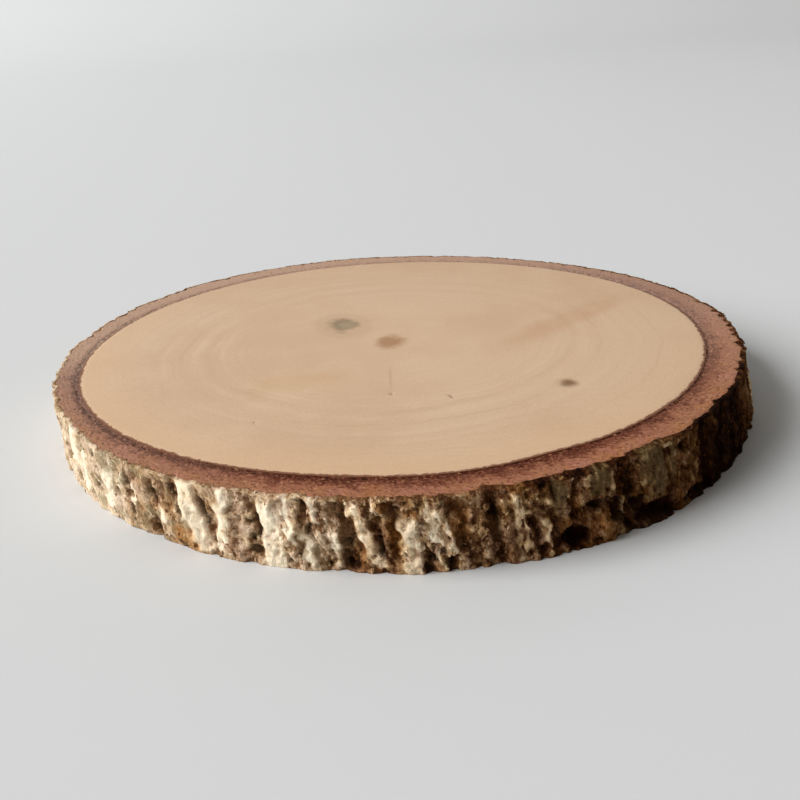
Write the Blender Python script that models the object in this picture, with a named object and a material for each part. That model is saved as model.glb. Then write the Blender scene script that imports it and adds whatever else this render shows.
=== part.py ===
"""A wood slice: a round sawn across a branch, sanded flat on both faces, with its rough bark still on.

Metres, +Z up. The slice lies flat on its base, with the middle of its base box at the origin.
Run it with: blender --background --python part.py
"""

import math
import random

import bmesh
import bpy
from mathutils import Vector, noise

MM = 0.001

# Driving dimensions
WOOD_RADIUS = 51.0 * MM
BARK_RADIUS = 56.1 * MM
BASE_FLARE = 0.4 * MM
THICKNESS = 10.5 * MM
# The saw cut isn't square to the branch, so the base lies this much further to +X and +Y than the top.
LEAN_X = 1.7 * MM
LEAN_Y = 0.45 * MM
# Where the wood's centre is, half way up, when the slice's box is centred on the origin.
CENTRE_X = -0.935 * MM
CENTRE_Y = 0.455 * MM

# Slow waves that make the outlines less than round: (cosine, sine) in mm for 1, 2, 3 and 4 waves.
WOOD_WAVES = ((0.0, 0.0), (0.05, 0.0), (0.05, 0.17), (0.0, 0.19))
TOP_WAVES = ((0.55, -0.2), (-0.35, -0.5), (0.5, 0.5), (0.15, 0.3))
BASE_WAVES = ((0.55, -0.2), (-0.15, 0.0), (0.05, 0.15), (0.15, 0.3))

# How finely the bark is cut up, round the slice and down its height.
SIDES = 480
ROWS = 9

# Furrows of the bark on the front, from left to right: azimuth at the top, half way down and at the base,
# in degrees counter-clockwise from +X, then the stretch of the height that it runs over, from 0 at the top
# to 1 at the base, its depth and its half width.
FRONT_FURROWS = (
    (-130.5, -134.5, -137.0, 0.00, 0.35, 0.5 * MM, 1.3 * MM),
    (-129.2, -130.0, -133.0, 0.10, 0.60, 0.9 * MM, 1.2 * MM),
    (-124.3, -126.0, -127.5, 0.05, 0.50, 1.2 * MM, 1.5 * MM),
    (-125.0, -125.6, -126.2, 0.65, 1.00, 1.05 * MM, 1.2 * MM),
    (-120.5, -121.5, -123.5, 0.00, 0.50, 0.9 * MM, 1.3 * MM),
    (-117.2, -115.6, -116.4, 0.00, 1.00, 0.7 * MM, 0.8 * MM),
    (-110.0, -108.4, -110.8, 0.00, 1.00, 0.9 * MM, 1.6 * MM),
    (-101.8, -101.7, -100.4, 0.00, 1.00, 0.8 * MM, 1.0 * MM),
    (-99.2, -99.4, -100.0, 0.40, 1.00, 0.6 * MM, 0.8 * MM),
    (-97.4, -96.9, -98.0, 0.00, 1.00, 1.1 * MM, 1.5 * MM),
    (-93.8, -93.4, -94.4, 0.05, 0.85, 0.8 * MM, 0.9 * MM),
    (-91.6, -91.3, -92.4, 0.00, 0.90, 0.9 * MM, 1.4 * MM),
    (-88.8, -88.6, -88.1, 0.55, 1.00, 1.1 * MM, 1.3 * MM),
    (-85.6, -85.5, -85.4, 0.75, 1.00, 0.8 * MM, 0.9 * MM),
    (-83.4, -83.5, -82.6, 0.00, 1.00, 0.7 * MM, 1.3 * MM),
    (-79.2, -79.3, -79.6, 0.00, 1.00, 1.1 * MM, 1.5 * MM),
    (-74.4, -74.3, -74.6, 0.35, 1.00, 0.75 * MM, 0.8 * MM),
    (-71.9, -71.7, -72.0, 0.00, 1.00, 0.8 * MM, 1.0 * MM),
    (-69.0, -69.1, -70.5, 0.00, 1.00, 0.9 * MM, 1.0 * MM),
    (-61.6, -61.5, -61.0, 0.00, 1.00, 0.9 * MM, 1.1 * MM),
    (-59.6, -60.2, -60.5, 0.00, 0.80, 0.75 * MM, 1.0 * MM),
    (-52.8, -53.2, -53.0, 0.00, 1.00, 0.7 * MM, 0.8 * MM),
    (-44.5, -44.7, -45.0, 0.00, 1.00, 1.05 * MM, 1.5 * MM),
)
FRONT_FROM = -138.0
FRONT_TO = -42.0

# Furrows round the rest of the bark are drawn at random within these ranges.
FURROW_SEED = 7
FURROW_STEP = (2.2, 4.8)
FURROW_SLANT = (-3.5, 2.5)
FURROW_BOW = (-1.2, 1.2)
FURROW_DEPTH = (0.6 * MM, 1.25 * MM)
FURROW_HALF_WIDTH = (0.9 * MM, 1.6 * MM)
SHORT_FURROW_SHARE = 0.4
SHORT_FURROW_START = (0.0, 0.5)
SHORT_FURROW_LENGTH = (0.4, 0.6)
# The share of the height over which a furrow dies out at an end that isn't at a face.
FURROW_FADE = 0.12

# Spots on the front where a scale of bark has come away or still stands out: azimuth, share of the height
# down from the top, half width, half height, and how far it stands out.
SPOTS = (
    (-118.3, 0.50, 1.6 * MM, 6.0 * MM, 0.4 * MM),
    (-113.0, 0.40, 1.3 * MM, 5.0 * MM, 0.4 * MM),
    (-105.0, 0.45, 1.7 * MM, 5.5 * MM, 0.3 * MM),
    (-97.6, 0.80, 1.4 * MM, 1.8 * MM, -0.7 * MM),
    (-93.6, 0.66, 0.9 * MM, 1.3 * MM, -0.9 * MM),
    (-69.5, 0.84, 2.2 * MM, 1.7 * MM, -1.2 * MM),
    (-66.5, 0.50, 2.2 * MM, 0.9 * MM, -1.2 * MM),
    (-65.7, 0.78, 1.9 * MM, 1.9 * MM, 0.7 * MM),
    (-63.2, 0.62, 1.0 * MM, 1.7 * MM, -1.2 * MM),
    (-56.0, 0.33, 3.4 * MM, 3.6 * MM, 0.4 * MM),
    (-56.5, 0.83, 4.4 * MM, 1.5 * MM, -1.3 * MM),
    (-49.5, 0.20, 1.3 * MM, 1.1 * MM, -1.0 * MM),
)

# Roughness between the furrows: how high, how wide round the bark and how tall.
WANDER = (0.7 * MM, 4.5 * MM, 3.2 * MM)
SWELL = (0.35 * MM, 9.0 * MM, 8.0 * MM)
SCALES = (0.40 * MM, 2.0 * MM, 4.0 * MM)
CREST = 0.2 * MM
# The saw and the sander leave the furrows shallower where they meet the faces.
TOP_SHARE = 0.25
BASE_SHARE = 0.6
FACE_REACH = 0.12

# Linear red, green and blue, and roughness.
SAWN_WOOD = ((0.60, 0.42, 0.28), 0.7)
CUT_INNER_BARK = ((0.27, 0.13, 0.08), 0.85)
OUTER_BARK = ((0.27, 0.20, 0.13), 0.95)


def waved_radius(radius, waves, angle):
    """The radius of an outline at an angle, with its slow waves."""
    for count, (cosine, sine) in enumerate(waves, start=1):
        radius += MM * (cosine * math.cos(count * angle) + sine * math.sin(count * angle))
    return radius


def bark_noise(angle, drop, across, along):
    """Smooth noise from about -1 to 1, whose lumps are `across` wide round the bark and `along` tall."""
    x = BARK_RADIUS * math.cos(angle) / across
    y = BARK_RADIUS * math.sin(angle) / across
    return noise.noise(Vector((x, y, drop / along)))


def all_furrows():
    """The front furrows, and random ones round the rest of the bark."""
    draw = random.Random(FURROW_SEED)
    furrows = list(FRONT_FURROWS)
    azimuth = FRONT_TO + draw.uniform(*FURROW_STEP)
    while azimuth < FRONT_FROM + 360.0:
        first, last = 0.0, 1.0
        if draw.random() < SHORT_FURROW_SHARE:
            first = draw.uniform(*SHORT_FURROW_START)
            last = first + draw.uniform(*SHORT_FURROW_LENGTH)
        base = azimuth + draw.uniform(*FURROW_SLANT)
        middle = (azimuth + base) / 2 + draw.uniform(*FURROW_BOW)
        depth = draw.uniform(*FURROW_DEPTH)
        half_width = draw.uniform(*FURROW_HALF_WIDTH)
        furrows.append((azimuth, middle, base, first, last, depth, half_width))
        azimuth += draw.uniform(*FURROW_STEP)
    return furrows


def arc_between(angle, azimuth):
    """How far round the bark an angle in radians lies from an azimuth in degrees, in metres, signed."""
    turn = (math.degrees(angle) - azimuth + 180.0) % 360.0 - 180.0
    return math.radians(turn) * BARK_RADIUS


def furrow_depth(furrow, angle, down):
    """How deep one furrow is at a point, `down` the height from 0 to 1: a valley that fades at its ends."""
    top, middle, base, first, last, depth, half_width = furrow
    line = top * (1.0 - down) * (1.0 - 2.0 * down) + base * down * (2.0 * down - 1.0)
    line += middle * 4.0 * down * (1.0 - down)
    away = abs(arc_between(angle, line)) / half_width
    if away >= 1.0:
        return 0.0
    fade = min(
        1.0,
        TOP_SHARE + (1.0 - TOP_SHARE) * down / FACE_REACH,
        BASE_SHARE + (1.0 - BASE_SHARE) * (1.0 - down) / FACE_REACH,
    )
    if first > 0.0:
        fade = min(fade, max(0.0, (down - first) / FURROW_FADE))
    if last < 1.0:
        fade = min(fade, max(0.0, (last - down) / FURROW_FADE))
    return depth * fade * (0.5 + 0.5 * math.cos(math.pi * away))


def spot_rise(spot, angle, down):
    """How far one spot stands out at a point: a low dome, or a round dent where its rise is negative."""
    azimuth, middle, half_width, half_height, rise = spot
    across = arc_between(angle, azimuth) / half_width
    along = (down - middle) * THICKNESS / half_height
    return rise * max(0.0, 1.0 - across * across - along * along)


def bark_radius(angle, down, furrows):
    """The radius of the bark at an angle, `down` the height from 0 at the top to 1 at the base."""
    drop = down * THICKNESS
    rise, across, along = WANDER
    bent = angle + rise * bark_noise(angle, drop, across, along) / BARK_RADIUS
    top = waved_radius(BARK_RADIUS, TOP_WAVES, angle)
    base = waved_radius(BARK_RADIUS + BASE_FLARE, BASE_WAVES, angle)
    radius = top + (base - top) * down + CREST
    radius -= max(furrow_depth(furrow, bent, down) for furrow in furrows)
    radius += sum(spot_rise(spot, bent, down) for spot in SPOTS)
    for rise, across, along in (SWELL, SCALES):
        radius += rise * bark_noise(angle, drop, across, along)
    return radius


def place(radius, angle, down):
    """A point of the slice, for a radius and angle about the wood's leaning centre line."""
    x = CENTRE_X + LEAN_X * (down - 0.5) + radius * math.cos(angle)
    y = CENTRE_Y + LEAN_Y * (down - 0.5) + radius * math.sin(angle)
    return Vector((x, y, THICKNESS * (1.0 - down)))


def make_material(name, colour, roughness):
    """A plain Principled material, with its colour as linear red, green and blue."""
    material = bpy.data.materials.new(name)
    material.use_nodes = True
    shader = material.node_tree.nodes["Principled BSDF"]
    shader.inputs["Base Color"].default_value = (*colour, 1.0)
    shader.inputs["Roughness"].default_value = roughness
    material.diffuse_color = (*colour, 1.0)
    return material


def make_slice():
    """A cylinder cut into rows, with its bark furrowed and the wood's edge drawn on both faces."""
    bm = bmesh.new()
    bmesh.ops.create_cone(
        bm, cap_ends=True, segments=SIDES, radius1=BARK_RADIUS, radius2=BARK_RADIUS, depth=THICKNESS
    )
    caps = [face for face in bm.faces if len(face.verts) == SIDES]
    rims = {edge for cap in caps for edge in cap.edges}
    upright = [edge for edge in bm.edges if edge not in rims]
    bmesh.ops.subdivide_edges(bm, edges=upright, cuts=ROWS - 1)
    wall = set(bm.verts)

    cut_bark = bmesh.ops.inset_individual(bm, faces=caps, thickness=BARK_RADIUS - WOOD_RADIUS)["faces"]
    wood_edge = set(bm.verts) - wall
    wood = bmesh.ops.poke(bm, faces=caps)["faces"]
    for face in bm.faces:
        face.material_index = 2
    for face in cut_bark:
        face.material_index = 1
    for face in wood:
        face.material_index = 0

    furrows = all_furrows()
    for vertex in bm.verts:
        angle = math.atan2(vertex.co.y, vertex.co.x)
        down = min(1.0, max(0.0, 0.5 - vertex.co.z / THICKNESS))
        if vertex in wall:
            radius = bark_radius(angle, down, furrows)
        elif vertex in wood_edge:
            radius = waved_radius(WOOD_RADIUS, WOOD_WAVES, angle)
        else:
            radius = 0.0
        vertex.co = place(radius, angle, down)

    mesh = bpy.data.meshes.new("wood_slice")
    bm.to_mesh(mesh)
    bm.free()
    mesh.materials.append(make_material("sawn_wood", *SAWN_WOOD))
    mesh.materials.append(make_material("cut_inner_bark", *CUT_INNER_BARK))
    mesh.materials.append(make_material("outer_bark", *OUTER_BARK))
    return bpy.data.objects.new("wood_slice", mesh)


for leftover in list(bpy.data.objects):
    bpy.data.objects.remove(leftover, do_unlink=True)

collection = bpy.data.collections.new("Wood slice")
bpy.context.scene.collection.children.link(collection)
collection.objects.link(make_slice())
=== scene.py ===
import math
import random

import bpy
import numpy as np
from mathutils import Matrix, Vector, noise


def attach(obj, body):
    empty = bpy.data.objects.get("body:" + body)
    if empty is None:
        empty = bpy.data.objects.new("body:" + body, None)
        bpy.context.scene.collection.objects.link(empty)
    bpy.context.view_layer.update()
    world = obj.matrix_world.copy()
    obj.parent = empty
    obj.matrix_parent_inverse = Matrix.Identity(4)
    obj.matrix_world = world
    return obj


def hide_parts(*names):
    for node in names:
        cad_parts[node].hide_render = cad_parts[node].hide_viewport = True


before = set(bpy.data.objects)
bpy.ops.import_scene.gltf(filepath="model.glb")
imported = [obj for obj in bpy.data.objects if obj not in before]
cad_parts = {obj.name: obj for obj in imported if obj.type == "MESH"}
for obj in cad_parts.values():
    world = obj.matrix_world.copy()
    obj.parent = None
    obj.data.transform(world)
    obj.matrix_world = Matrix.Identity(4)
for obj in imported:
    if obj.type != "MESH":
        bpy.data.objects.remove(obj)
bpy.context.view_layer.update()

# The camera
# A telephone held close over the table, looking down at the slice and rolled by three degrees. Its lens is
# given in pixels of a picture 800 wide.
MM = 0.001
PHOTO_SIDE = 800
FOCAL_PIXELS = 1000
SENSOR_SIDE = 36
CAMERA_PLACE = (-1.0 * MM, -159.75 * MM, 65.1 * MM)
CAMERA_DOWN = 22.377
CAMERA_ROLL = 3.058


def new_object(name, data):
    """An object with its data, in the scene."""
    made = bpy.data.objects.new(name, data)
    bpy.context.scene.collection.objects.link(made)
    return made


camera_data = bpy.data.cameras.new("camera")
camera_data.sensor_width = SENSOR_SIDE
camera_data.lens = SENSOR_SIDE * FOCAL_PIXELS / PHOTO_SIDE
camera_data.clip_start = 10 * MM
camera = new_object("camera", camera_data)
look_down = Matrix.Rotation(math.radians(90 - CAMERA_DOWN), 4, "X")
roll = Matrix.Rotation(math.radians(-CAMERA_ROLL), 4, "Z")
camera.matrix_world = Matrix.Translation(CAMERA_PLACE) @ look_down @ roll
bpy.context.scene.camera = camera

# The sawn wood
# Pale close-grained wood, cut across the branch and sanded smooth on both faces. Its rings are faint, and the
# pith, two dark knots, a few specks, a warm streak and a hairline check show on the upper face.
WOOD_RADIUS = 51.0 * MM
THICKNESS = 10.5 * MM
LEAN = (1.7 * MM, 0.45 * MM)
CENTRE = (-0.935 * MM, 0.455 * MM)
# The slow waves of the wood's outline: the cosine and the sine in mm of one to four waves round it.
WOOD_WAVES = ((0.0, 0.0), (0.05, 0.0), (0.05, 0.17), (0.0, 0.19))
# Where the wood's edge swells out or falls in: azimuth, spread in degrees and rise in mm.
WOOD_BULGES = ((-84.0, 10.0, 0.50), (-67.0, 5.0, -0.30))
WOOD_SIDES = 480
FACE_ROWS = 96
WOOD_SIDE_ROWS = 3
# How rough the wood's edge is, how far it is rounded over the last share of its radius, and the angle in
# degrees from which an edge is drawn sharp.
WOOD_ROUGHNESS = 0.05 * MM
WOOD_ROUNDING = 0.08 * MM
ROUNDED_SHARE = 0.01
SHARP_FROM = 40
PITH = (-0.2 * MM, -1.7 * MM)
# Each spot: place about the wood's centre, half width and half length in mm, turn in degrees, and the depth
# of its dimple in mm.
PITH_SPOT = (-0.1, -1.4, 3.6, 4.9, -14.0, 0.04)
LARGE_KNOT = (-8.6, 8.6, 3.6, 5.4, 14.0, 0.04)
KNOT_CORE = (-8.1, 8.5, 2.5, 3.7, 14.0, 0.0)
SMALL_KNOT = (25.6, -24.3, 2.1, 2.3, 20.0, 0.08)
SPECKS = (
    (-19.6, -32.6, 0.35, 0.8, 0.0, 0.1), (8.0, -26.8, 0.4, 0.8, 10.0, 0.1),
    (-0.5, -24.8, 0.35, 0.9, 0.0, 0.1),
)
STREAKS = (
    (21.5, -3.5, 5.5, 13.0, -40.0, 0.0), (38.5, 13.0, 4.5, 15.5, -46.0, 0.0),
    (30.0, 5.0, 5.5, 15.0, -45.0, 0.0),
)
BLUSH = (-15.0, -18.0, 14.0, 6.5, 6.0, 0.0)
# How many sanding scratches there are to a metre along, across and down.
SANDING = (60.0, 4500.0, 100.0)
CHECK = (-0.5, -17.5, 0.40, 13.0, 0.0, 0.0)


def waved(radius, waves, angle):
    """The radius of an outline at each angle, with its slow waves in mm."""
    for count, (cosine, sine) in enumerate(waves, start=1):
        radius = radius + MM * (cosine * np.cos(count * angle) + sine * np.sin(count * angle))
    return radius


def wood_edge(angle):
    """The radius of the wood's edge at each angle."""
    edge = waved(WOOD_RADIUS, WOOD_WAVES, angle)
    for azimuth, spread, rise in WOOD_BULGES:
        edge = edge + rise * MM * np.exp(-((np.degrees(angle) - azimuth) / spread) ** 2)
    return edge


def place(x, y, drop):
    """Points from their place about the wood's centre line and their drop below the top face."""
    share = drop / THICKNESS - 0.5
    x = CENTRE[0] + LEAN[0] * share + x
    y = CENTRE[1] + LEAN[1] * share + y
    return np.stack([x, y, THICKNESS - drop], axis=-1)


def scaled(x, y, z, across, along):
    """The points as plain numbers, in lumps `across` wide level and `along` tall."""
    return np.stack(np.broadcast_arrays(x / across, y / across, z / along), axis=-1)


def lumps(x, y, z, across, along):
    """Smooth noise at each point, with lumps `across` wide level and `along` tall."""
    spots = scaled(x, y, z, across, along)
    return np.array([noise.noise(spot) for spot in spots.reshape(-1, 3).tolist()]).reshape(spots.shape[:-1])


def inside(x, y, spot):
    """1 at the middle of a turned oval, falling to 0 at its edge and below 0 outside it."""
    middle_x, middle_y, half_width, half_length = (value * MM for value in spot[:4])
    turned = math.radians(spot[4])
    across = (x - middle_x) * math.cos(turned) + (y - middle_y) * math.sin(turned)
    along = (y - middle_y) * math.cos(turned) - (x - middle_x) * math.sin(turned)
    return 1.0 - np.hypot(across / half_width, along / half_length)


def held(value):
    """A value held between 0 and 1."""
    return np.clip(value, 0.0, 1.0)


def smooth(value):
    """An ease from 0 to 1."""
    value = held(value)
    return value * value * (3.0 - 2.0 * value)


def skin(name, loops, marks, poles=()):
    """A closed mesh over loops of points, from inside the top out, down and back in. Poles may close it."""
    count, sides = loops.shape[:2]
    points = loops.reshape(-1, 3)
    first = np.arange(count - 1 if poles else count)[:, None]
    column = np.arange(sides)[None, :]
    after = (column + 1) % sides
    below = (first + 1) % count
    corners = (first * sides + column, below * sides + column, below * sides + after, first * sides + after)
    faces = np.stack(corners, axis=-1).reshape(-1, 4).tolist()
    if poles:
        points = np.concatenate([points, np.array(poles)])
        top = count * sides
        last = (count - 1) * sides
        faces += [[top, j, (j + 1) % sides] for j in range(sides)]
        faces += [[top + 1, last + (j + 1) % sides, last + j] for j in range(sides)]
    mesh = bpy.data.meshes.new(name)
    mesh.from_pydata(points.tolist(), [], faces)
    for mark, values in marks.items():
        ends = [values[0].mean(), values[-1].mean()] if poles else []
        values = np.concatenate([values.ravel(), ends])
        mesh.attributes.new(mark, "FLOAT", "POINT").data.foreach_set("value", values.astype(np.float32))
    mesh.polygons.foreach_set("use_smooth", [True] * len(mesh.polygons))
    return new_object(name, mesh)


def add(tree, kind, inputs=None, **settings):
    """Adds a node with its settings, and sets or links its inputs by name or number."""
    made = tree.nodes.new(kind)
    for name, value in settings.items():
        setattr(made, name, value)
    for key, value in (inputs or {}).items():
        if isinstance(value, bpy.types.NodeSocket):
            tree.links.new(value, made.inputs[key])
        else:
            made.inputs[key].default_value = value
    return made


def linear(value):
    """One 8-bit value of a screen colour as linear light from 0 to 1, by the sRGB curve."""
    share = value / 255
    return share / 12.92 if share <= 0.04045 else ((share + 0.055) / 1.055) ** 2.4


def colour(red, green, blue):
    """An opaque colour given as 8-bit screen values, as linear ones."""
    return (linear(red), linear(green), linear(blue), 1.0)


def mix(tree, factor, first, second):
    """Mixes two colours by a factor."""
    return add(tree, "ShaderNodeMix", {0: factor, 6: first, 7: second}, data_type="RGBA").outputs[2]


def calc(tree, operation, *values):
    """A sum on one, two or three values."""
    return add(tree, "ShaderNodeMath", dict(enumerate(values)), operation=operation).outputs[0]


def vector(tree, operation, *values):
    """A sum on one or two vectors."""
    return add(tree, "ShaderNodeVectorMath", dict(enumerate(values)), operation=operation).outputs[0]


def sway(tree, value, noisy, amount):
    """A value moved up and down by noise from 0 to 1, by half the amount either way."""
    return calc(tree, "MULTIPLY_ADD", noisy, amount, calc(tree, "ADD", value, -amount / 2))


def span(tree, value, low, high, to_low=0.0, to_high=1.0):
    """A value moved from one range to another, eased and held at its ends."""
    inputs = {0: value, 1: low, 2: high, 3: to_low, 4: to_high}
    return add(tree, "ShaderNodeMapRange", inputs, interpolation_type="SMOOTHSTEP").outputs[0]


def mark(tree, name):
    """The value that the mesh holds under a name."""
    return add(tree, "ShaderNodeAttribute", attribute_name=name).outputs["Fac"]


def ramp(tree, value, stops):
    """A colour that changes along a value, through stops of a position and a colour in 8-bit values each."""
    made = add(tree, "ShaderNodeValToRGB", {0: value})
    elements = made.color_ramp.elements
    elements[0].position, elements[1].position = stops[0][0], stops[-1][0]
    elements[0].color, elements[1].color = colour(*stops[0][1]), colour(*stops[-1][1])
    for position, shade in stops[1:-1]:
        elements.new(position).color = colour(*shade)
    return made.outputs[0]


def new_group(name, inputs, output):
    """A shader node group with its named inputs and one output: its tree, its inputs and its end node."""
    tree = bpy.data.node_groups.new(name, "ShaderNodeTree")
    for label, kind in inputs.items():
        tree.interface.new_socket(label, in_out="INPUT", socket_type="NodeSocket" + kind)
    tree.interface.new_socket(output[0], in_out="OUTPUT", socket_type="NodeSocket" + output[1])
    return tree, tree.nodes.new("NodeGroupInput").outputs, tree.nodes.new("NodeGroupOutput")


def make_grain_group():
    """Noise from 0 to 1 for fibre, pores and dust, of a size in metres, drawn out upright by its tallness."""
    inputs = {"Vector": "Vector", "Size": "Float", "Tallness": "Float"}
    tree, given, end = new_group("grain", inputs, ("Grain", "Float"))
    level = calc(tree, "DIVIDE", 1.0, given["Size"])
    upright = calc(tree, "DIVIDE", level, given["Tallness"])
    scale = add(tree, "ShaderNodeCombineXYZ", {0: level, 1: level, 2: upright}).outputs[0]
    spot = vector(tree, "MULTIPLY", given["Vector"], scale)
    noisy = add(tree, "ShaderNodeTexNoise", {"Vector": spot, "Scale": 1.0, "Detail": 3.5, "Roughness": 0.62})
    tree.links.new(noisy.outputs["Fac"], end.inputs["Grain"])
    return tree


def make_stain_group():
    """Lays a stain over a colour where a mask is, with a ragged edge that follows the grain."""
    inputs = {"Colour": "Color", "Stain": "Color", "Mask": "Float", "Grain": "Float", "Strength": "Float"}
    tree, given, end = new_group("ragged_stain", inputs, ("Colour", "Color"))
    ragged = calc(tree, "MULTIPLY_ADD", given["Grain"], 1.6, -0.8)
    near = span(tree, given["Mask"], 0.0, 0.35)
    edge = span(tree, calc(tree, "MULTIPLY_ADD", ragged, near, given["Mask"]), 0.0, 0.95)
    factor = calc(tree, "MULTIPLY", edge, given["Strength"])
    tree.links.new(mix(tree, factor, given["Colour"], given["Stain"]), end.inputs["Colour"])
    return tree


grain_group = make_grain_group()
stain_group = make_stain_group()


def grain(tree, coordinates, size, tallness=1.0):
    """Places the grain group in a material and gives its noise, of a size in mm."""
    inputs = {"Vector": coordinates, "Size": size * MM, "Tallness": tallness}
    return add(tree, "ShaderNodeGroup", inputs, node_tree=grain_group).outputs["Grain"]


def stain(tree, base, shade, mask, ragged, strength):
    """Places the stain group in a material and gives the stained colour."""
    inputs = {"Colour": base, "Stain": shade, "Mask": mask, "Grain": ragged, "Strength": strength}
    return add(tree, "ShaderNodeGroup", inputs, node_tree=stain_group).outputs["Colour"]


def new_material(name):
    """A material with its node tree, its Principled shader and its object coordinates."""
    material = bpy.data.materials.new(name)
    material.use_nodes = True
    tree = material.node_tree
    shader = tree.nodes["Principled BSDF"]
    coordinates = add(tree, "ShaderNodeTexCoord").outputs["Object"]
    return material, tree, shader, coordinates


def roughen(tree, shader, height, distance, strength):
    """Roughens the shader's surface by a height from 0 to 1 over a distance in metres."""
    bump = add(tree, "ShaderNodeBump", {"Height": height, "Distance": distance, "Strength": strength})
    tree.links.new(bump.outputs[0], shader.inputs["Normal"])


def make_sawn_wood():
    """The wood as a disc: a fine polar grid about the pith on top, a plain side and a coarser grid below."""
    angle = np.linspace(-math.pi, math.pi, WOOD_SIDES, endpoint=False)[None, :]
    growth = np.linspace(0.0, 1.0, FACE_ROWS + 1)[1:, None]
    side = np.linspace(0.0, 1.0, WOOD_SIDE_ROWS + 2)[1:-1, None]
    edge = wood_edge(angle)
    edge = edge + WOOD_ROUGHNESS * lumps(edge * np.cos(angle), edge * np.sin(angle), 0 * edge, 0.7 * MM, 1.0)
    x = growth * edge * np.cos(angle) + (1.0 - growth) * PITH[0]
    y = growth * edge * np.sin(angle) + (1.0 - growth) * PITH[1]
    hollows = (PITH_SPOT, LARGE_KNOT, SMALL_KNOT, *SPECKS)
    dimple = sum(spot[-1] * MM * smooth(2.0 * inside(x, y, spot)) for spot in hollows)
    rounding = WOOD_ROUNDING * smooth((growth - (1.0 - ROUNDED_SHARE)) / ROUNDED_SHARE) + 0.0 * angle
    top = place(x, y, dimple + rounding)
    below = place(x[::-2], y[::-2], THICKNESS - rounding[::-2])
    wall = place(x[-1] + 0 * side, y[-1] + 0 * side, THICKNESS * side + 0 * angle)
    loops = np.concatenate([top, wall, below])
    pole_drops = (PITH_SPOT[-1] * MM, THICKNESS)
    poles = [place(np.array(PITH[0]), np.array(PITH[1]), np.array(drop)) for drop in pole_drops]

    knot = inside(x, y, LARGE_KNOT)
    marks = {
        "growth": growth + 0.0 * angle,
        "pith": held(1.1 * inside(x, y, PITH_SPOT)),
        "knot": held(1.25 * knot),
        "knot_core": smooth(1.1 * inside(x, y, KNOT_CORE)),
        "knot_rim": smooth(1.0 - abs(knot + 0.05) / 0.65),
        "small_knot": held(1.1 * inside(x, y, SMALL_KNOT)),
        "specks": sum(smooth(2.0 * inside(x, y, spot)) for spot in SPECKS),
        "streak": smooth(0.8 * sum(held(inside(x, y, spot)) for spot in STREAKS)),
        "blush": smooth(inside(x, y, BLUSH)),
        "check": smooth(inside(x, y, CHECK)),
        "sapwood": smooth((growth - 0.78) / 0.20) * smooth(0.50 - 0.55 * np.sin(angle + 0.5)),
        # Painted shade: the mark shade paints the wood darker toward its rim, its right and its far side.
        "shade": held(0.35 * growth + (0.40 * x + 0.75 * np.maximum(y, 0.0)) / WOOD_RADIUS),
    }
    through = ("growth", "pith", "sapwood", "shade")
    for name, values in marks.items():
        beside = values[-1] + 0.0 * side if name in through else 0.0 * (side + angle)
        under = values[::-2] if name in through else 0.0 * values[::-2]
        marks[name] = np.concatenate([values, beside, under])
    piece = skin("sawn_wood", loops, marks, poles)
    piece.data.set_sharp_from_angle(angle=math.radians(SHARP_FROM))
    return piece


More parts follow.
